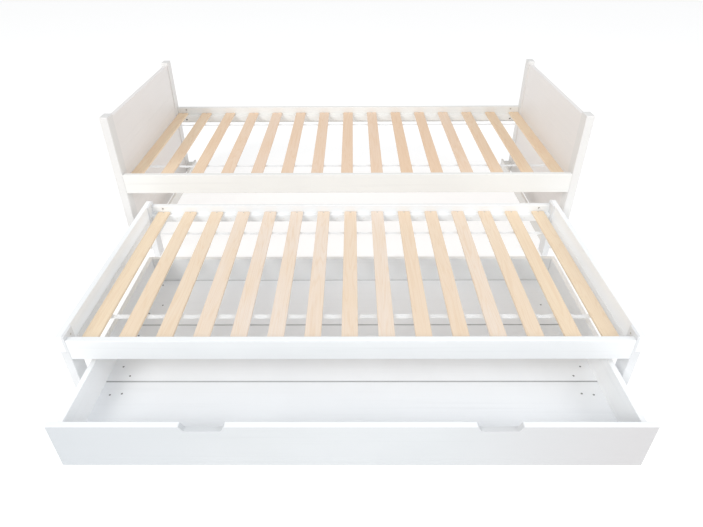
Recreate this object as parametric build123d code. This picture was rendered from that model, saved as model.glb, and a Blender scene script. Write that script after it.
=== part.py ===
from build123d import *
import os

# Trundle bed: a slatted bed, a slatted trundle bed that rolls out from under it, and a drawer on
# castors that rolls out from under the trundle. Millimetres. +X runs along the bed to the right as
# seen from the drawer, +Y to the back, +Z up. The origin is on the floor, at the middle of the
# whole object with the trundle and the drawer pulled out.

# ---- Main bed ----
BED_INSIDE = 2016.0  # between the end units, along X
BED_DEPTH = 955.0  # front face to rear face, along Y
POST_WIDTH = 36.0  # along X
POST_DEPTH = 58.0  # along Y
POST_TOP = 662.0
PANEL_TOP = 648.0
PANEL_BOTTOM = 6.0
PANEL_THICK = 18.0
PANEL_INSET = 6.0  # the panel's inner face stands this far behind the posts' inner faces
PANEL_TONGUE = 10.0  # how far the panel enters each post
PANEL_BOARDS = 4
GLIDE_HEIGHT = 3.0
GLIDE_RADIUS = 14.0
RAIL_THICK = 22.0
BED_RAIL_BOTTOM = 308.0
BED_RAIL_TOP = 398.0
BED_SLAT_TOP = 367.0
GUIDE_FACE = 960.0  # inner face of the guide board, from the middle
GUIDE_THICK = 12.0
GUIDE_HEIGHT = 60.0
SPACER_HEIGHT = 46.0

# ---- Slats and what holds them, alike on the bed and on the trundle ----
SLAT_COUNT = 15
SLAT_WIDTH = 55.0
SLAT_THICK = 10.0
LEDGER_DEPTH = 22.0
LEDGER_HEIGHT = 32.0
TAPE_WIDTH = 20.0
TAPE_THICK = 1.0
TAPE_SAG = 4.0
BED_TAPES = (190.0, 752.0)  # distances behind the front face
TRUNDLE_TAPES = (168.0, 728.0)

# ---- Trundle bed ----
TRUNDLE_LENGTH = 1880.0
TRUNDLE_DEPTH = 929.0
TRUNDLE_GAP = 8.0  # behind the pulled-out trundle, to the bed's front face
LEG_WIDTH = 28.0  # along X
LEG_DEPTH = 60.0  # along Y
LEG_TOP = 273.0
LEG_BOTTOM = 5.0
END_RAIL_THICK = 20.0
END_RAIL_BOTTOM = 208.0
TRUNDLE_RAIL_BOTTOM = 178.0
TRUNDLE_RAIL_TOP = 258.0
TRUNDLE_SLAT_TOP = 230.0
TRUNDLE_SLAT_PITCH = 122.8
ROLLER_RADIUS = 13.0
ROLLER_WIDTH = 15.0
ROLLER_SLOT = (16.0, 32.0, 30.0)  # the slot in the leg's foot: X, Y, and its top's height

# ---- Drawer ----
DRAWER_LENGTH = 1744.0
DRAWER_DEPTH = 934.0
DRAWER_OUT = 263.0  # between the trundle's front face and the back of the drawer front
BOARD_THICK = 18.0
FRONT_BOTTOM = 12.0
FRONT_TOP = 190.0
SIDE_BOTTOM = 16.0
SIDE_TOP = 148.0
FLOOR_TOP = 35.0
FLOOR_THICK = 10.0
FLOOR_BOARDS = 3
FLOOR_GAP = 1.5  # between neighbouring boards
NOTCH_CENTRE = 426.0
NOTCH_TOP_HALF = 72.0
NOTCH_FLAT_HALF = 48.0
NOTCH_DEPTH = 21.0
WHEEL_RADIUS = 11.0
WHEEL_WIDTH = 12.0
CASTOR_X = 780.0
CASTOR_Y = (303.0, 700.0)  # distances behind the drawer's front face
CASTOR_PLATE = (28.0, 100.0)  # along X and along Y
CASTOR_SCREW = 41.0  # from the wheel's middle, along Y

# ---- Fasteners ----
SCREW_RADIUS = 2.0
SCREW_HEAD = 3.6
SCREW_HEAD_DEPTH = 2.0
SLACK = 0.05  # between a fastener and its hole
BOLT_RADIUS = 3.0
BOLT_HEAD = 7.5
BOLT_HEAD_DEPTH = 3.0
BOLT_HOLE = 3.4
SOCKET_RADIUS = 2.3
SOCKET_DEPTH = 2.2
NUT_RADIUS = 5.0
NUT_LENGTH = 14.0
NUT_FROM_END = 48.0  # the nut's axis, from the end of the rail
AXLE_RADIUS = 3.0
CASTOR_AXLE = 2.0
AXLE_PLAY = 0.06
BED_BOLT_HEIGHTS = (333.0, 384.0)
TRUNDLE_BOLT_HEIGHTS = (243.0,)
END_SCREWS = ((12.0, 252.0), (12.0, 226.0))  # from the leg's middle along Y, and height
END_SCREW_LENGTH = 22.0
FRONT_SCREW_HEIGHTS = (60.0, 128.0)
BACK_SCREW_HEIGHTS = (50.0, 115.0)
BATTEN_X = 819.0
BATTEN_WIDTH = 36.0
BATTEN_SCREWS = (60.0, 257.0, 389.0, 555.0, 687.0, 880.0)  # distances behind the front face

EDGE = 2.0  # rounding of the edges of boards
POST_EDGE = 3.0
PANEL_SEAM = 0.6  # chamfer along the seams between the panel's boards
FLOOR_SEAM = 0.8

# ---- Places that follow ----
TOTAL_DEPTH = BED_DEPTH + TRUNDLE_GAP + TRUNDLE_DEPTH + DRAWER_OUT + BOARD_THICK
BED_Y = TOTAL_DEPTH / 2 - BED_DEPTH
TRUNDLE_Y = BED_Y - TRUNDLE_GAP - TRUNDLE_DEPTH
DRAWER_Y = TRUNDLE_Y - DRAWER_OUT - BOARD_THICK
HALF_BED = BED_INSIDE / 2
HALF_TRUNDLE = TRUNDLE_LENGTH / 2
LEG_FACE = HALF_TRUNDLE - LEG_WIDTH
HALF_DRAWER = DRAWER_LENGTH / 2
SIDE_FACE = HALF_DRAWER - BOARD_THICK
BED_SLAT_PITCH = (BED_INSIDE - 2 - SLAT_WIDTH) / (SLAT_COUNT - 1)
SIDES = {"left": -1, "right": 1}

# Each body is drawn about X = 0. The trundle has 20 mm of play to each side between the bed's guide
# boards, and the drawer 40 mm between the trundle's legs; both stand a little to the right in it.
ASIDE = {"bed": 0.0, "trundle": 16.0, "drawer": 20.0}


def block(x, y, z, edge=0.0):
    """A box between two X, two Y and two Z values, given in any order, with rounded edges."""
    size = [abs(pair[1] - pair[0]) for pair in (x, y, z)]
    centre = [(pair[0] + pair[1]) / 2 for pair in (x, y, z)]
    solid = Pos(*centre) * Box(*size)
    return fillet(solid.edges(), edge) if edge else solid


def rod(centre, radius, length, axis):
    """A cylinder centred on a point, along X, Y or Z."""
    turn = {"x": Rot(0, 90, 0), "y": Rot(90, 0, 0), "z": Rot(0, 0, 0)}[axis]
    return Pos(*centre) * turn * Cylinder(radius, length)


def screw(place, length, slack=0.0):
    """A countersunk screw whose head is flush at place and whose point runs along its -Z."""
    head = Pos(0, 0, -SCREW_HEAD_DEPTH / 2) * Cone(
        SCREW_RADIUS + slack, SCREW_HEAD + slack, SCREW_HEAD_DEPTH
    )
    shank = Pos(0, 0, -length / 2) * Cylinder(SCREW_RADIUS + slack, length)
    return place * (head + shank)


def screws_and_holes(places, length):
    """Screws at those places, and the slightly larger shapes that cut their holes."""
    screws = [screw(place, length) for place in places]
    holes = [screw(place, length + 0.5, SLACK) for place in places]
    return screws, holes


def drilled(solid, cutters):
    """The solid with every cutter that reaches it taken out."""
    box = solid.bounding_box()
    near = [c for c in cutters if c.bounding_box().overlaps(box, 0.1)]
    return solid - near if near else solid


def write(node, solids):
    """One STEP file for a node of one or more separate solids, set aside with its body."""
    place = Pos(ASIDE[node.split("_")[0]], 0, 0)
    solids = solids if isinstance(solids, list) else [solids]
    parts = [place * s for shape in solids for s in shape.solids()]
    export_step(Compound(children=parts) if len(parts) > 1 else parts[0], f"parts/{node}.step")


# ---- Slatted bases ----


def slat_base(front, depth, inside, top, pitch, tapes, bolt_holes):
    """Slats, the two ledgers they lie on, their tapes and all their screws, for one bed.

    front is the Y of the bed's front face, and the ledgers stand against the long rails' inner
    faces. bolt_holes are cutters that also pass through the ledgers.
    """
    ledger_top = top - SLAT_THICK
    ledger_middle = ledger_top - LEDGER_HEIGHT / 2
    near, far = front + RAIL_THICK, front + depth - RAIL_THICK
    ledger_y = ((near, near + LEDGER_DEPTH), (far - LEDGER_DEPTH, far))
    middles = [pitch * (i - (SLAT_COUNT - 1) / 2) for i in range(SLAT_COUNT)]

    ends = [(low + high) / 2 for low, high in ledger_y]
    slat_screws, slat_holes = screws_and_holes([Pos(x, y, top) for x in middles for y in ends], 40)

    # The ledgers' screws stand in every other gap between slats and run outwards into the rails.
    gaps = [sign * pitch * (i + 0.5) for sign in (-1, 1) for i in range(0, SLAT_COUNT // 2, 2)]
    places = [Pos(x, near + LEDGER_DEPTH, ledger_middle) * Rot(-90, 0, 0) for x in gaps]
    places += [Pos(x, far - LEDGER_DEPTH, ledger_middle) * Rot(90, 0, 0) for x in gaps]
    ledger_screws, ledger_holes = screws_and_holes(places, 36)

    slats = []
    for x in middles:
        across = (x - SLAT_WIDTH / 2, x + SLAT_WIDTH / 2)
        slat = block(across, (near + 2, far - 2), (ledger_top, top), EDGE)
        slats.append(drilled(slat, slat_holes))
    ledgers = []
    for y in ledger_y:
        ledger = block((-inside, inside), y, (ledger_top - LEDGER_HEIGHT, ledger_top))
        ledgers.append(drilled(ledger, slat_holes + ledger_holes + bolt_holes))
    return {
        "slats": slats,
        "ledger_front": ledgers[0],
        "ledger_rear": ledgers[1],
        "slat_screws": slat_screws,
        "ledger_screws": ledger_screws,
        "ledger_holes": ledger_holes,
        "slat_tapes": [tape(front + y, ledger_top, middles) for y in tapes],
    }


def tape(y, top, middles):
    """A webbing tape that lies flat under each slat and sags a little between slats."""
    half = SLAT_WIDTH / 2 - 4
    upper = [(middles[0] - half, top)]
    for here, after in zip(middles, middles[1:]):
        upper += [(here + half, top), ((here + after) / 2, top - TAPE_SAG), (after - half, top)]
    upper.append((middles[-1] + half, top))
    lower = [(x, z - TAPE_THICK) for x, z in reversed(upper)]
    face = Plane.XZ * make_face(Polyline(*upper, *lower, close=True))
    return Pos(0, y + TAPE_WIDTH / 2, 0) * extrude(face, TAPE_WIDTH)


# ---- Bolted joints ----


def bolt(outer, tip, y, z):
    """A flat-headed bolt along X, its head flush at outer, with a hexagon socket."""
    sign = 1 if outer > tip else -1
    under_head = outer - sign * BOLT_HEAD_DEPTH
    head = rod(((outer + under_head) / 2, y, z), BOLT_HEAD, BOLT_HEAD_DEPTH, "x")
    shank = rod(((under_head + tip) / 2, y, z), BOLT_RADIUS, abs(under_head - tip), "x")
    mouth = Plane(origin=(outer - sign * SOCKET_DEPTH, y, z), z_dir=(sign, 0, 0))
    socket = extrude(mouth * RegularPolygon(SOCKET_RADIUS, 6), SOCKET_DEPTH + 1)
    return head + shank - socket


def rail_joints(front, depth, half, thick, heights):
    """Every bolt, barrel nut and hole where a bed's two long rails meet its four uprights.

    half is the rails' half length, thick the uprights' width along X.
    """
    bolts, nuts, holes = [], [], []
    for sign in SIDES.values():
        outer = sign * (half + thick)
        nut_x = sign * (half - NUT_FROM_END)
        tip = nut_x - sign * 8
        for face, inward in ((front, 1), (front + depth, -1)):
            y = face + inward * RAIL_THICK / 2
            bottom = y - inward * NUT_LENGTH / 2
            mouth = face + inward * (RAIL_THICK + LEDGER_DEPTH + 1)
            for z in heights:
                bolts.append(bolt(outer, tip, y, z))
                nut = rod((nut_x, y, z), NUT_RADIUS, NUT_LENGTH, "y")
                nuts.append(nut - rod((nut_x, y, z), BOLT_RADIUS + SLACK, 30, "x"))
                seat = (outer - sign * (BOLT_HEAD_DEPTH / 2 - 1), y, z)
                holes.append(rod(seat, BOLT_HEAD + SLACK, BOLT_HEAD_DEPTH + 2, "x"))
                holes.append(rod(((outer + tip) / 2, y, z), BOLT_HOLE, abs(outer - tip) + 2, "x"))
                blind = (nut_x, (bottom + mouth) / 2, z)
                holes.append(rod(blind, NUT_RADIUS + SLACK, abs(bottom - mouth), "y"))
    return bolts, nuts, holes


# ---- Main bed ----


def end_unit(side, sign, bolt_holes):
    """One end of the bed: two posts, the boarded panel in their grooves, and the guide board.

    Returns the guide board's spacers and screws, which share nodes with the other end's.
    """
    inner, outer = sign * HALF_BED, sign * (HALF_BED + POST_WIDTH)
    near = sign * (HALF_BED + PANEL_INSET)
    far = near + sign * PANEL_THICK
    face, back = sign * GUIDE_FACE, sign * (GUIDE_FACE + GUIDE_THICK)
    front, rear = BED_Y, BED_Y + BED_DEPTH
    post_y = {"front": (front, front + POST_DEPTH), "rear": (rear - POST_DEPTH, rear)}
    panel_y = (front + POST_DEPTH - PANEL_TONGUE, rear - POST_DEPTH + PANEL_TONGUE)
    spacer_z = (GLIDE_HEIGHT, SPACER_HEIGHT)

    places = [
        Pos(face, (y[0] + y[1]) / 2, (spacer_z[0] + spacer_z[1]) / 2 + rise) * Rot(0, -90 * sign, 0)
        for y in post_y.values()
        for rise in (-12, 12)
    ]
    screws, holes = screws_and_holes(places, abs(inner - face) + 16)

    groove = block((near, far), panel_y, (PANEL_BOTTOM, PANEL_TOP))
    for name, y in post_y.items():
        post = block((inner, outer), y, (GLIDE_HEIGHT, POST_TOP), POST_EDGE) - groove
        write(f"bed_post_{name}_{side}", drilled(post, bolt_holes + holes))

    step = (PANEL_TOP - PANEL_BOTTOM) / PANEL_BOARDS
    boards = []
    for i in range(PANEL_BOARDS):
        bottom = PANEL_BOTTOM + i * step
        board = block((near, far), panel_y, (bottom, bottom + step))
        boards.append(chamfer(board.edges().filter_by(Axis.Y), PANEL_SEAM))
    write(f"bed_end_panel_{side}", boards)

    guide = block((face, back), (front, rear), (GLIDE_HEIGHT, GUIDE_HEIGHT), EDGE)
    write(f"bed_guide_board_{side}", drilled(guide, holes))
    spacers = [drilled(block((back, inner), y, spacer_z), holes) for y in post_y.values()]
    return spacers, screws


def main_bed():
    """The bed that stays put."""
    front, rear = BED_Y, BED_Y + BED_DEPTH
    bolts, nuts, bolt_holes = rail_joints(front, BED_DEPTH, HALF_BED, POST_WIDTH, BED_BOLT_HEIGHTS)
    spacers, guide_screws = [], []
    for side, sign in SIDES.items():
        made = end_unit(side, sign, bolt_holes)
        spacers += made[0]
        guide_screws += made[1]
    base = slat_base(
        front, BED_DEPTH, HALF_BED, BED_SLAT_TOP, BED_SLAT_PITCH, BED_TAPES, bolt_holes
    )
    holes = bolt_holes + base.pop("ledger_holes")
    for name, y in (("front", (front, front + RAIL_THICK)), ("rear", (rear - RAIL_THICK, rear))):
        rail = block((-HALF_BED, HALF_BED), y, (BED_RAIL_BOTTOM, BED_RAIL_TOP), EDGE)
        write(f"bed_rail_{name}", drilled(rail, holes))
    for name, solids in base.items():
        write(f"bed_{name}", solids)
    write("bed_rail_bolts", bolts)
    write("bed_barrel_nuts", nuts)
    write("bed_guide_spacers", spacers)
    write("bed_guide_screws", guide_screws)
    middle = HALF_BED + POST_WIDTH / 2
    glides = [
        rod((x, y, GLIDE_HEIGHT / 2), GLIDE_RADIUS, GLIDE_HEIGHT, "z")
        for x in (-middle, middle)
        for y in (front + POST_DEPTH / 2, rear - POST_DEPTH / 2)
    ]
    write("bed_glides", glides)


# ---- Trundle bed ----


def trundle_leg(sign, y, bolt_holes):
    """A leg, cut back at the top outside for the end rail and slotted underneath for a roller."""
    leg = block((sign * LEG_FACE, sign * HALF_TRUNDLE), y, (LEG_BOTTOM, LEG_TOP), EDGE)
    shoulder = block(
        (sign * (HALF_TRUNDLE - END_RAIL_THICK), sign * (HALF_TRUNDLE + 5)),
        (y[0] - 5, y[1] + 5),
        (END_RAIL_BOTTOM, LEG_TOP + 5),
    )
    x, middle = sign * (LEG_FACE + LEG_WIDTH / 2), (y[0] + y[1]) / 2
    half_x, half_y, slot_top = ROLLER_SLOT[0] / 2, ROLLER_SLOT[1] / 2, ROLLER_SLOT[2]
    slot = block((x - half_x, x + half_x), (middle - half_y, middle + half_y), (0, slot_top))
    axle_hole = rod((x, middle, ROLLER_RADIUS), AXLE_RADIUS + 0.01, LEG_WIDTH + 2, "x")
    return drilled(leg - shoulder - slot - axle_hole, bolt_holes)


def roller(x, y, radius, width, axle):
    """A wheel with rounded rims that turns on an axle along X and stands on the floor."""
    disc = rod((x, y, radius), radius, width, "x")
    rims = disc.edges().filter_by(GeomType.CIRCLE)
    return fillet(rims, 1.5) - rod((x, y, radius), axle + AXLE_PLAY, width + 2, "x")


def trundle():
    """The low bed on rollers that runs out from under the main bed."""
    front, rear = TRUNDLE_Y, TRUNDLE_Y + TRUNDLE_DEPTH
    bolts, nuts, bolt_holes = rail_joints(
        front, TRUNDLE_DEPTH, LEG_FACE, LEG_WIDTH - END_RAIL_THICK, TRUNDLE_BOLT_HEIGHTS
    )
    leg_y = {"front": (front, front + LEG_DEPTH), "rear": (rear - LEG_DEPTH, rear)}
    axles, end_screws = [], []
    for side, sign in SIDES.items():
        rail_x = (sign * (HALF_TRUNDLE - END_RAIL_THICK), sign * HALF_TRUNDLE)
        rail = block(rail_x, (front, rear), (END_RAIL_BOTTOM, LEG_TOP), EDGE)
        # Screws run outwards from the legs' inner faces into the end rail.
        places = [
            Pos(sign * LEG_FACE, (y[0] + y[1]) / 2 + along, z) * Rot(0, -90 * sign, 0)
            for y in leg_y.values()
            for along, z in END_SCREWS
        ]
        screws, holes = screws_and_holes(places, END_SCREW_LENGTH)
        end_screws += screws
        write(f"trundle_end_rail_{side}", drilled(rail, holes))
        apron_y = (leg_y["front"][1], leg_y["rear"][0])
        apron = block(rail_x, apron_y, (TRUNDLE_RAIL_BOTTOM, END_RAIL_BOTTOM))
        write(f"trundle_end_apron_{side}", apron)
        for name, y in leg_y.items():
            write(f"trundle_leg_{name}_{side}", trundle_leg(sign, y, bolt_holes + holes))
            x, middle = sign * (LEG_FACE + LEG_WIDTH / 2), (y[0] + y[1]) / 2
            axles.append(rod((x, middle, ROLLER_RADIUS), AXLE_RADIUS, LEG_WIDTH, "x"))
            wheel = roller(x, middle, ROLLER_RADIUS, ROLLER_WIDTH, AXLE_RADIUS)
            write(f"trundle_roller_{name}_{side}", wheel)
    base = slat_base(
        front,
        TRUNDLE_DEPTH,
        LEG_FACE,
        TRUNDLE_SLAT_TOP,
        TRUNDLE_SLAT_PITCH,
        TRUNDLE_TAPES,
        bolt_holes,
    )
    holes = bolt_holes + base.pop("ledger_holes")
    for name, y in (("front", (front, front + RAIL_THICK)), ("rear", (rear - RAIL_THICK, rear))):
        rail = block((-LEG_FACE, LEG_FACE), y, (TRUNDLE_RAIL_BOTTOM, TRUNDLE_RAIL_TOP), EDGE)
        write(f"trundle_rail_{name}", drilled(rail, holes))
    for name, solids in base.items():
        write(f"trundle_{name}", solids)
    write("trundle_rail_bolts", bolts)
    write("trundle_barrel_nuts", nuts)
    write("trundle_end_screws", end_screws)
    write("trundle_roller_axles", axles)


# ---- Drawer ----


def notched_front():
    """The drawer's front board, with two finger notches in its top edge."""
    board = block(
        (-HALF_DRAWER, HALF_DRAWER),
        (DRAWER_Y, DRAWER_Y + BOARD_THICK),
        (FRONT_BOTTOM, FRONT_TOP),
        EDGE,
    )
    low, lip = FRONT_TOP - NOTCH_DEPTH, FRONT_TOP + 10
    for centre in (-NOTCH_CENTRE, NOTCH_CENTRE):
        left = Spline(
            (centre - NOTCH_TOP_HALF, FRONT_TOP),
            (centre - NOTCH_FLAT_HALF, low),
            tangents=((1, 0), (1, 0)),
        )
        flat = Line((centre - NOTCH_FLAT_HALF, low), (centre + NOTCH_FLAT_HALF, low))
        right = Spline(
            (centre + NOTCH_FLAT_HALF, low),
            (centre + NOTCH_TOP_HALF, FRONT_TOP),
            tangents=((1, 0), (1, 0)),
        )
        over = Polyline(
            (centre + NOTCH_TOP_HALF, FRONT_TOP),
            (centre + NOTCH_TOP_HALF, lip),
            (centre - NOTCH_TOP_HALF, lip),
            (centre - NOTCH_TOP_HALF, FRONT_TOP),
        )
        face = Plane.XZ * make_face([left, flat, right, over])
        board -= Pos(0, DRAWER_Y + BOARD_THICK + 5, 0) * extrude(face, BOARD_THICK + 10)
    return board


def castor(x, y):
    """A low fixed castor: a plate with two cheeks, and an axle between them for the wheel."""
    top = FLOOR_TOP - FLOOR_THICK
    half_x, half_y = CASTOR_PLATE[0] / 2, CASTOR_PLATE[1] / 2
    plate = block((x - half_x, x + half_x), (y - half_y, y + half_y), (top - 2, top))
    housing = [plate]
    for sign in (-1, 1):
        inner = x + sign * (WHEEL_WIDTH / 2 + 0.6)
        cheek = block((inner, inner + sign * 3), (y - 8, y + 8), (WHEEL_RADIUS - 5, top - 1))
        housing.append(cheek)
    hole = rod((x, y, WHEEL_RADIUS), CASTOR_AXLE + 0.01, WHEEL_WIDTH + 20, "x")
    body = (housing[0] + housing[1] + housing[2]) - hole
    axle = rod((x, y, WHEEL_RADIUS), CASTOR_AXLE, WHEEL_WIDTH + 7.2, "x")
    return body, axle


def drawer():
    """The drawer on castors that runs out from under the trundle."""
    front, rear = DRAWER_Y, DRAWER_Y + DRAWER_DEPTH
    inside = (front + BOARD_THICK, rear - BOARD_THICK)
    floor_z = (FLOOR_TOP - FLOOR_THICK, FLOOR_TOP)

    # Screws through the front board and the back into the sides' ends.
    x_side = HALF_DRAWER - BOARD_THICK / 2
    corner_places = [
        Pos(x, front, z) * Rot(90, 0, 0) for x in (-x_side, x_side) for z in FRONT_SCREW_HEIGHTS
    ]
    back_places = [
        Pos(sign * HALF_DRAWER, rear - BOARD_THICK / 2, z) * Rot(0, 90 * sign, 0)
        for sign in SIDES.values()
        for z in BACK_SCREW_HEIGHTS
    ]
    corner_screws, corner_holes = screws_and_holes(corner_places, 45)
    back_screws, back_holes = screws_and_holes(back_places, 45)

    # Screws down through the floor, into the outer battens and beside them into the castor plates.
    batten_places = [
        Pos(sign * BATTEN_X, front + y, FLOOR_TOP) for sign in SIDES.values() for y in BATTEN_SCREWS
    ]
    castor_places = [
        Pos(sign * CASTOR_X, front + y + along, FLOOR_TOP)
        for sign in SIDES.values()
        for y in CASTOR_Y
        for along in (-CASTOR_SCREW, CASTOR_SCREW)
    ]
    batten_screws, batten_holes = screws_and_holes(batten_places, 17)
    castor_screws, castor_holes = screws_and_holes(castor_places, 12)

    write("drawer_front", drilled(notched_front(), corner_holes))
    back = block((-SIDE_FACE, SIDE_FACE), (rear - BOARD_THICK, rear), (SIDE_BOTTOM, SIDE_TOP), EDGE)
    write("drawer_back", drilled(back, back_holes))
    for side, sign in SIDES.items():
        board = block(
            (sign * SIDE_FACE, sign * HALF_DRAWER), (inside[0], rear), (SIDE_BOTTOM, SIDE_TOP), EDGE
        )
        write(f"drawer_side_{side}", drilled(board, corner_holes + back_holes))

    step = (inside[1] - inside[0] + FLOOR_GAP) / FLOOR_BOARDS
    boards = []
    for i in range(FLOOR_BOARDS):
        y = inside[0] + i * step
        board = block((-SIDE_FACE, SIDE_FACE), (y, y + step - FLOOR_GAP), floor_z)
        seam = board.edges().filter_by(Axis.X).group_by(Axis.Z)[-1]
        boards.append(drilled(chamfer(seam, FLOOR_SEAM), batten_holes + castor_holes))
    write("drawer_floor_boards", boards)
    half = BATTEN_WIDTH / 2
    battens = [
        block((x - half, x + half), (inside[0] + 2, inside[1] - 2), (SIDE_BOTTOM, floor_z[0]))
        for x in (-BATTEN_X, 0, BATTEN_X)
    ]
    write("drawer_battens", [drilled(b, batten_holes) for b in battens])

    housings, axles = [], []
    for side, sign in SIDES.items():
        for name, y in zip(("front", "rear"), CASTOR_Y):
            body, axle = castor(sign * CASTOR_X, front + y)
            housings.append(drilled(body, castor_holes))
            axles.append(axle)
            wheel = roller(sign * CASTOR_X, front + y, WHEEL_RADIUS, WHEEL_WIDTH, CASTOR_AXLE)
            write(f"drawer_wheel_{name}_{side}", wheel)
    write("drawer_castors", housings)
    write("drawer_castor_axles", axles)
    write("drawer_corner_screws", corner_screws + back_screws)
    write("drawer_floor_screws", batten_screws + castor_screws)


os.makedirs("parts", exist_ok=True)
main_bed()
trundle()
drawer()
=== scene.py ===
import math
import random

import bpy
from mathutils import Matrix, Vector


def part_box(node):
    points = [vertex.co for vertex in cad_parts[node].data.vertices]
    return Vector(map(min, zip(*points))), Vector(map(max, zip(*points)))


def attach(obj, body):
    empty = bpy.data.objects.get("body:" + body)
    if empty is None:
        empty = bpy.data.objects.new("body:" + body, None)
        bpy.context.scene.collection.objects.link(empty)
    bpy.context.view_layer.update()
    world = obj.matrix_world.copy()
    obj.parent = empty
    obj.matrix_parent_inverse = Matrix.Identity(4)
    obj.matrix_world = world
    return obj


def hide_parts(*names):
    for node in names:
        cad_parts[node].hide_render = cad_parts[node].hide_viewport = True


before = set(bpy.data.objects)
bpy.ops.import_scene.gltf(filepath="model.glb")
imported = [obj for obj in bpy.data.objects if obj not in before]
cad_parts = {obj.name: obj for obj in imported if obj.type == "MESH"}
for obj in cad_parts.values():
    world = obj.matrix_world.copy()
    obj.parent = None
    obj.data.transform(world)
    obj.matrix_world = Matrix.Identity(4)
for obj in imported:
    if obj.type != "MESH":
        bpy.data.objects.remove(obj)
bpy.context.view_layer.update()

# The trundle bed's finishes and its webbing tapes. Metres, as in the frame: +X runs
# along the bed to the right as seen from the drawer, +Y to the back, +Z up.

SLAT_COUNT = 15
SLAT_WIDTH = 0.055
OUTER_SLAT = (0.81, 0.665, 0.47)  # the slats near the ends are yellower
FLOOR_BOARDS = 3
SEAM_HALVES = 0.0042, 0.0022  # either side of a floor seam: where the painted shade and dust start, and where they are full
# Painted shade in the floor's seams, with some dust
SEAM_SHADE_AND_DUST = (0.20, 0.20, 0.20)
FRONT_LEFT_END_SHADE = (0.565, 0.59, 0.615)  # the drawer front's paint at its ends, darker as painted shade
FRONT_RIGHT_END_SHADE = (0.57, 0.56, 0.565)
# A painted highlight along the drawer front's top edge, where light falls from above
FRONT_TOP_HIGHLIGHT = (0.86, 0.88, 0.90)
TAPE_WIDTH = 0.020
TAPE_THICK = 0.0008
TAPE_END = 0.004  # from the outer slat's outer edge
TAPE_STEPS = 12  # mesh steps from one slat to the next

CAMERA_AT = (0.02659, -2.08061, 1.42846)
CAMERA_YAW, CAMERA_PITCH, CAMERA_ROLL = -0.447, -34.465, -0.361  # degrees
CAMERA_LENS, CAMERA_SENSOR = 27.536, 36.0
CAMERA_SHIFT = (0.0030, 0.0015)


# ---- Camera, light and floor ----


def camera():
    """The camera, 1.4 m up in front of the drawer, looking down over both beds."""
    yaw, pitch, roll = (math.radians(a) for a in (CAMERA_YAW, CAMERA_PITCH, CAMERA_ROLL))
    level = math.cos(pitch)
    ahead = Vector((math.sin(yaw) * level, math.cos(yaw) * level, math.sin(pitch)))
    right = Vector((math.cos(yaw), -math.sin(yaw), 0))
    up = right.cross(ahead)
    turned_right = right * math.cos(roll) + up * math.sin(roll)
    turned_up = up * math.cos(roll) - right * math.sin(roll)
    data = bpy.data.cameras.new("camera")
    data.lens = CAMERA_LENS
    data.sensor_width = CAMERA_SENSOR
    data.shift_x, data.shift_y = CAMERA_SHIFT
    eye = bpy.data.objects.new("camera", data)
    bpy.context.scene.collection.objects.link(eye)
    turn = Matrix((turned_right, turned_up, -ahead)).transposed().to_4x4()
    eye.matrix_world = Matrix.Translation(CAMERA_AT) @ turn
    bpy.context.scene.camera = eye


def soft_light(name, place, size, power, aim=(0, 0, 0.2), colour=(1, 1, 1)):
    """A large square area light that looks at a point."""
    data = bpy.data.lights.new(name, "AREA")
    data.size = size
    data.energy = power
    data.color = colour
    lamp = bpy.data.objects.new(name, data)
    lamp.location = place
    lamp.rotation_euler = (Vector(aim) - Vector(place)).to_track_quat("-Z", "Y").to_euler()
    bpy.context.scene.collection.objects.link(lamp)


def studio():
    """A white sky, three large soft lamps and a pale floor."""
    world = bpy.data.worlds.new("studio")
    world.use_nodes = True
    sky = world.node_tree.nodes["Background"]
    sky.inputs["Color"].default_value = (0.96, 0.98, 1.0, 1)
    sky.inputs["Strength"].default_value = 0.60
    bpy.context.scene.world = world
    bpy.context.scene.view_settings.view_transform = "Standard"
    soft_light("key", (-6.6, -8.4, 7.7), 6.0, 900, colour=(1.0, 0.99, 0.97))
    soft_light("overhead", (0.4, 0.2, 4.2), 3.4, 23)
    soft_light("fill", (7.0, -4.0, 4.5), 5.0, 285, colour=(0.96, 0.98, 1.0))

    bpy.ops.mesh.primitive_plane_add(size=60)
    floor = bpy.context.object
    floor.name = "floor"
    finish = Finish("floor")
    cloud = finish.noise(finish.stretched((1.5, 1.5, 1.5)), 2)
    finish.set("Base Color", finish.mix(cloud, (0.39, 0.39, 0.39), (0.41, 0.41, 0.41)))
    finish.set("Roughness", 0.8)
    finish.set("Emission Color", (1, 1, 1, 1))
    finish.set("Emission Strength", 0.66)
    floor.data.materials.append(finish.material)


# ---- Finishes ----


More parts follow.
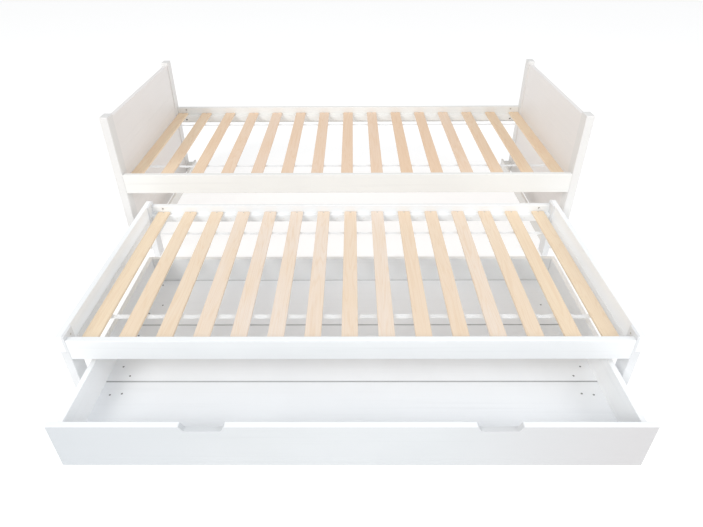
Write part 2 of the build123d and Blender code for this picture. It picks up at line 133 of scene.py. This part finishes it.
class Finish:
    """A material being built round one shader, with short calls for the nodes that it needs."""

    def __init__(self, name):
        self.material = bpy.data.materials.new(name)
        self.material.use_nodes = True
        self.tree = self.material.node_tree
        self.shader = self.tree.nodes["Principled BSDF"]
        self.place = self.tree.nodes.new("ShaderNodeTexCoord").outputs["Object"]

    def put(self, socket, value):
        """Feeds a socket with another node's output, a number or a colour."""
        if isinstance(value, bpy.types.NodeSocket):
            self.tree.links.new(value, socket)
        elif isinstance(value, tuple) and len(value) == 3 and len(socket.default_value) == 4:
            socket.default_value = (*value, 1)
        else:
            socket.default_value = value

    def set(self, name, value):
        """Feeds one of the shader's own sockets."""
        self.put(self.shader.inputs[name], value)

    def stretched(self, sizes, shift=None):
        """Object coordinates, measured in features of those sizes along X, Y and Z."""
        node = self.tree.nodes.new("ShaderNodeMapping")
        self.put(node.inputs["Vector"], self.place)
        node.inputs["Scale"].default_value = [1 / size for size in sizes]
        if shift is not None:
            self.put(node.inputs["Location"], shift)
        return node.outputs["Vector"]

    def noise(self, vector, detail, distortion=0.0):
        """Soft noise, mostly between 0.3 and 0.7."""
        node = self.tree.nodes.new("ShaderNodeTexNoise")
        self.put(node.inputs["Vector"], vector)
        node.inputs["Scale"].default_value = 1.0
        node.inputs["Detail"].default_value = detail
        node.inputs["Distortion"].default_value = distortion
        return node.outputs["Fac"]

    def math(self, operation, first, second=0.0):
        node = self.tree.nodes.new("ShaderNodeMath")
        node.operation = operation
        self.put(node.inputs[0], first)
        self.put(node.inputs[1], second)
        return node.outputs[0]

    def spread(self, value, low, high, to_low=0.0, to_high=1.0):
        """Maps low to high onto to_low to to_high, and holds it there outside them."""
        node = self.tree.nodes.new("ShaderNodeMapRange")
        self.put(node.inputs["Value"], value)
        node.inputs["From Min"].default_value = low
        node.inputs["From Max"].default_value = high
        node.inputs["To Min"].default_value = to_low
        node.inputs["To Max"].default_value = to_high
        return node.outputs["Result"]

    def mix(self, share, first, second, way="MIX"):
        """A colour between two others, or the first changed by the second."""
        node = self.tree.nodes.new("ShaderNodeMix")
        node.data_type = "RGBA"
        node.blend_type = way
        self.put(node.inputs[0], share)
        self.put(node.inputs[6], first)
        self.put(node.inputs[7], second)
        return node.outputs[2]

    def part(self, axis):
        """One of the object coordinates, in metres."""
        node = self.tree.nodes.new("ShaderNodeSeparateXYZ")
        self.put(node.inputs[0], self.place)
        return node.outputs[axis]

    def bump(self, height, depth, below=None):
        """Adds relief of that depth, in metres, on top of any relief given in below."""
        node = self.tree.nodes.new("ShaderNodeBump")
        node.inputs["Distance"].default_value = depth
        self.put(node.inputs["Height"], height)
        if below is not None:
            self.put(node.inputs["Normal"], below)
        return node.outputs["Normal"]


def along(axis, length, across):
    """Feature sizes that are long along one axis and narrow across it."""
    return [length if name == axis else across for name in "xyz"]


def painted(name, axis, tone, shade, change=None):
    """White paint on planed softwood, with the grain and the brush lines just showing along axis.

    change takes the finish and its colour, and returns the colour to use instead.
    """
    finish = Finish(name)
    grain = finish.noise(finish.stretched(along(axis, 0.9, 0.016)), 5, 0.6)
    brush = finish.noise(finish.stretched(along(axis, 0.11, 0.0013)), 3)
    cloud = finish.noise(finish.stretched((0.34, 0.34, 0.34)), 2)
    specks = finish.noise(finish.stretched((0.0022, 0.0022, 0.0022)), 2)

    colour = finish.mix(finish.spread(cloud, 0.35, 0.65), shade, tone)
    dark_grain = tuple(0.955 * part for part in shade)
    colour = finish.mix(finish.spread(grain, 0.56, 0.74, 0.0, 0.55), colour, dark_grain)
    finish.set("Base Color", change(finish, colour) if change else colour)
    gloss = finish.math("ADD", finish.spread(brush, 0.3, 0.7, 0.0, 0.10), 0.36)
    finish.set("Roughness", finish.math("ADD", gloss, finish.spread(cloud, 0.3, 0.7, 0.0, 0.08)))
    finish.set("Specular IOR Level", 0.42)

    relief = finish.bump(grain, 0.0005)
    relief = finish.bump(brush, 0.00022, relief)
    finish.set("Normal", finish.bump(specks, 0.00006, relief))
    return finish.material


def front_light_and_shade(finish, colour):
    """The drawer front's paint, with painted shade towards both ends and a painted highlight along
    the top edge.
    """
    # Painted shade: the paint darkens towards both ends.
    rightwards = finish.spread(finish.part(0), -0.5, 0.5)
    end_shade = finish.mix(rightwards, FRONT_LEFT_END_SHADE, FRONT_RIGHT_END_SHADE)
    reach = finish.spread(finish.math("ABSOLUTE", finish.part(0)), 0.25, 0.85)
    colour = finish.mix(reach, colour, end_shade)
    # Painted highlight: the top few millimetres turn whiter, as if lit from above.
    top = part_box("drawer_front")[1].z
    edge = finish.spread(finish.part(2), top - 0.0035, top - 0.001)
    return finish.mix(edge, colour, FRONT_TOP_HIGHLIGHT)


def floor_seams(finish, colour):
    """The drawer floor's paint, darkened along the seams between its boards: painted shade in the
    grooves, with some dust.
    """
    low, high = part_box("drawer_floor_boards")
    step = (high.y - low.y) / FLOOR_BOARDS
    along_y = finish.math("DIVIDE", finish.math("SUBTRACT", finish.part(1), low.y), step)
    nearest = finish.math("ABSOLUTE", finish.math("SUBTRACT", finish.math("FRACT", along_y), 0.5))
    darkening_from, darkening_to = (0.5 - half / step for half in SEAM_HALVES)
    # Painted shade in the grooves, with some dust.
    line = finish.spread(nearest, darkening_from, darkening_to, 0.0, 0.62)
    return finish.mix(line, colour, SEAM_SHADE_AND_DUST)


def slat_wood(name, pitch, pale, warm):
    """Bare planed wood. Each slat has its own tone, between pale and warm, and its own grain."""
    finish = Finish(name)
    pitches = finish.math("DIVIDE", finish.part(0), pitch)
    cell = finish.math("FLOOR", finish.math("ADD", pitches, 0.5))
    draw = finish.tree.nodes.new("ShaderNodeTexWhiteNoise")
    draw.noise_dimensions = "1D"
    finish.put(draw.inputs["W"], cell)
    own = draw.outputs["Value"]
    shift = finish.tree.nodes.new("ShaderNodeCombineXYZ")
    finish.put(shift.inputs[1], finish.math("MULTIPLY", own, 37.0))
    finish.put(shift.inputs[2], finish.math("MULTIPLY", own, 11.0))
    shift = shift.outputs[0]

    figure = finish.noise(finish.stretched((0.05, 0.85, 0.05), shift), 2, 0.4)
    rings = finish.math("PINGPONG", finish.math("MULTIPLY", figure, 26.0), 1.0)
    fibres = finish.noise(finish.stretched((0.0016, 0.11, 0.0016), shift), 4)
    pores = finish.noise(finish.stretched((0.0007, 0.016, 0.0007), shift), 2)
    cloud = finish.noise(finish.stretched((0.11, 0.30, 0.11), shift), 3)

    colour = finish.mix(finish.spread(own, 0.0, 1.0, 0.0, 0.85), pale, warm)
    outer = finish.spread(finish.math("ABSOLUTE", cell), 3.5, 7.0, 0.0, 0.7)
    colour = finish.mix(outer, colour, OUTER_SLAT)
    colour = finish.mix(finish.spread(cloud, 0.40, 0.68, 0.0, 0.5), colour, warm)
    late = tuple(part * share for part, share in zip(warm, (0.90, 0.83, 0.74)))
    colour = finish.mix(finish.spread(rings, 0.55, 1.0, 0.0, 0.34), colour, late)
    colour = finish.mix(finish.spread(fibres, 0.50, 0.80, 0.0, 0.40), colour, late)
    dark = tuple(part * share for part, share in zip(warm, (0.72, 0.60, 0.48)))
    colour = finish.mix(finish.spread(pores, 0.66, 0.80, 0.0, 0.5), colour, dark)
    finish.set("Base Color", colour)
    finish.set("Roughness", finish.spread(fibres, 0.3, 0.7, 0.50, 0.66))
    finish.set("Specular IOR Level", 0.35)
    relief = finish.bump(rings, 0.00012)
    finish.set("Normal", finish.bump(fibres, 0.00025, relief))
    return finish.material


def webbing():
    """White woven tape: ribs across it, threads along it."""
    finish = Finish("webbing")
    turn = 2 * math.pi
    ribs = finish.math("SINE", finish.math("MULTIPLY", finish.part(0), turn / 0.0016))
    threads = finish.math("SINE", finish.math("MULTIPLY", finish.part(1), turn / 0.0011))
    weave = finish.math("MULTIPLY", ribs, threads)
    wear = finish.noise(finish.stretched((0.05, 0.004, 0.05)), 3)
    colour = finish.mix(finish.spread(weave, -1.0, 1.0), (0.84, 0.84, 0.84), (0.95, 0.95, 0.95))
    soiled = finish.mix(finish.spread(wear, 0.5, 0.8, 0.0, 0.4), colour, (0.84, 0.83, 0.81))
    finish.set("Base Color", soiled)
    finish.set("Roughness", finish.spread(wear, 0.3, 0.7, 0.78, 0.92))
    finish.set("Sheen Weight", 0.15)
    finish.set("Normal", finish.bump(weave, 0.00025))
    return finish.material


def metal(name, tone, low, high):
    """Plated or pressed steel, a little uneven and finely scratched."""
    finish = Finish(name)
    mottle = finish.noise(finish.stretched((0.002, 0.002, 0.002)), 4)
    scratch = finish.noise(finish.stretched((0.0004, 0.006, 0.0004)), 3)
    dull = tuple(0.72 * part for part in tone)
    finish.set("Base Color", finish.mix(finish.spread(mottle, 0.35, 0.7), tone, dull))
    finish.set("Metallic", 1.0)
    finish.set("Roughness", finish.spread(mottle, 0.3, 0.7, low, high))
    finish.set("Normal", finish.bump(scratch, 0.00003))
    return finish.material


def moulded(name, tone, worn):
    """Moulded plastic with a fine grain, worn paler in patches."""
    finish = Finish(name)
    patches = finish.noise(finish.stretched((0.009, 0.009, 0.009)), 4)
    pebbles = finish.noise(finish.stretched((0.0008, 0.0008, 0.0008)), 2)
    finish.set("Base Color", finish.mix(finish.spread(patches, 0.45, 0.75), tone, worn))
    finish.set("Roughness", finish.spread(patches, 0.3, 0.7, 0.42, 0.6))
    finish.set("Normal", finish.bump(pebbles, 0.00008))
    return finish.material


def slat_pitch(slats):
    """From one slat's middle to the next."""
    low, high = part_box(slats)
    return (high.x - low.x - SLAT_WIDTH) / (SLAT_COUNT - 1)


def paint_everything():
    """Gives every CAD node its finish, with the grain along the board."""
    cream, cream_shade = (0.80, 0.797, 0.775), (0.775, 0.77, 0.75)
    white, white_shade = (0.85, 0.865, 0.875), (0.825, 0.84, 0.85)
    post, post_shade = (0.745, 0.735, 0.72), (0.72, 0.71, 0.70)
    # The end panels' white paint, made darker as painted shade under the bed.
    panel, panel_shade = (0.80, 0.775, 0.76), (0.78, 0.755, 0.74)
    leg, leg_shade = (0.745, 0.755, 0.77), (0.72, 0.73, 0.74)
    bright = (0.90, 0.91, 0.92)
    bluish, bluish_shade = (0.86, 0.88, 0.905), (0.84, 0.86, 0.885)
    # The drawer front's white paint, made much darker than the rest as painted shade.
    front_shaded, front_shaded_dark = (0.64, 0.66, 0.675), (0.615, 0.635, 0.65)
    finishes = {
        "rail_front": painted("painted_rail", "x", cream, cream_shade),
        "post": painted("painted_post", "z", post, post_shade),
        "end_panel": painted("painted_panel", "y", panel, panel_shade),
        "guide": painted("painted_guide", "y", cream, cream_shade),
        "trundle_rail": painted("painted_trundle_rail", "x", white, white_shade),
        "trundle_leg": painted("painted_trundle_leg", "z", leg, leg_shade),
        "trundle_end": painted("painted_trundle_end", "y", bright, white),
        "drawer_front": painted("painted_drawer_front", "x", front_shaded, front_shaded_dark, front_light_and_shade),
        "drawer_floor": painted("painted_drawer_floor", "x", bluish, bluish_shade, floor_seams),
        "drawer_long": painted("painted_drawer_back", "x", white, white_shade),
        "drawer_side": painted("painted_drawer_side", "y", bright, white),
    }
    zinc = metal("zinc", (0.60, 0.59, 0.56), 0.28, 0.46)
    bracket = metal("pressed_steel", (0.30, 0.30, 0.31), 0.35, 0.55)
    black = moulded("black_plastic", (0.022, 0.022, 0.024), (0.05, 0.05, 0.052))
    grey = moulded("grey_plastic", (0.42, 0.40, 0.37), (0.50, 0.48, 0.45))
    tape = webbing()
    bed_slats = slat_wood(
        "bed_slat_wood", slat_pitch("bed_slats"), (0.79, 0.62, 0.49), (0.77, 0.56, 0.39)
    )
    trundle_slats = slat_wood(
        "trundle_slat_wood", slat_pitch("trundle_slats"), (0.79, 0.685, 0.60), (0.78, 0.62, 0.46)
    )

    by_word = [
        ("bed_slats", bed_slats),
        ("trundle_slats", trundle_slats),
        ("tapes", tape),
        ("ledger_screws", finishes["rail_front"]),
        ("corner_screws", finishes["drawer_front"]),
        ("floor_screws", bracket),
        ("screws", zinc),
        ("bolts", zinc),
        ("nuts", zinc),
        ("axles", zinc),
        ("castors", bracket),
        ("roller_", black),
        ("wheel", black),
        ("glides", grey),
        ("post", finishes["post"]),
        ("leg_", finishes["trundle_leg"]),
        ("end_panel", finishes["end_panel"]),
        ("guide", finishes["guide"]),
        ("end_rail", finishes["trundle_end"]),
        ("end_apron", finishes["trundle_end"]),
        ("trundle_rail", finishes["trundle_rail"]),
        ("trundle_ledger", finishes["trundle_rail"]),
        ("drawer_front", finishes["drawer_front"]),
        ("drawer_side", finishes["drawer_side"]),
        ("battens", finishes["drawer_side"]),
        ("drawer_floor", finishes["drawer_floor"]),
        ("drawer", finishes["drawer_long"]),
        ("rail", finishes["rail_front"]),
        ("ledger", finishes["rail_front"]),
    ]
    for name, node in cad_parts.items():
        material = next(found for word, found in by_word if word in name)
        node.data.materials.clear()
        node.data.materials.append(material)
    return tape


# ---- Webbing tapes ----


def tape(name, slats, y, top, seed, finish):
    """One tape: flat against each slat's underside, and slack and a little twisted between them."""
    draw = random.Random(seed)
    low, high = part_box(slats)
    pitch = slat_pitch(slats)
    length = high.x - low.x - 2 * TAPE_END
    bpy.ops.object.select_all(action="DESELECT")
    bpy.ops.mesh.primitive_grid_add(
        x_subdivisions=TAPE_STEPS * (SLAT_COUNT - 1), y_subdivisions=4, size=1
    )
    strip = bpy.context.object
    strip.name = name
    sags = [draw.uniform(0.0008, 0.0026) for _ in range(SLAT_COUNT)]
    twists = [draw.uniform(-0.16, 0.16) for _ in range(SLAT_COUNT)]
    drifts = [draw.uniform(-0.0015, 0.0015) for _ in range(SLAT_COUNT)]
    first = low.x + SLAT_WIDTH / 2
    for vertex in strip.data.vertices:
        x = low.x + TAPE_END + (vertex.co.x + 0.5) * length
        across = vertex.co.y * TAPE_WIDTH
        span = min(max(int((x - first) // pitch), 0), SLAT_COUNT - 2)
        from_slat = x - first - span * pitch - SLAT_WIDTH / 2
        free = min(max(from_slat / (pitch - SLAT_WIDTH), 0.0), 1.0)
        loose = math.sin(math.pi * free) ** 2
        twist = twists[span] * loose
        vertex.co.x = x
        vertex.co.y = y + across * math.cos(twist) + drifts[span] * loose
        vertex.co.z = top - TAPE_THICK / 2 - sags[span] * loose + across * math.sin(twist)
    thick = strip.modifiers.new("thick", "SOLIDIFY")
    thick.thickness = TAPE_THICK
    thick.offset = 0
    bpy.ops.object.modifier_apply(modifier="thick")
    bpy.ops.object.shade_smooth_by_angle(angle=math.radians(40))
    strip.data.materials.append(finish)
    return strip


def tapes(finish):
    """The two tapes under the bed's slats and the two under the trundle's."""
    for bed in ("bed", "trundle"):
        low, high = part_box(f"{bed}_slat_tapes")
        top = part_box(f"{bed}_slats")[0].z
        for place, y in (("front", low.y + TAPE_WIDTH / 2), ("rear", high.y - TAPE_WIDTH / 2)):
            strip = tape(f"{bed}_tape_{place}", f"{bed}_slats", y, top, f"{bed}{place}", finish)
            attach(strip, bed)
        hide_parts(f"{bed}_slat_tapes")


camera()
studio()
webbing_finish = paint_everything()
tapes(webbing_finish)
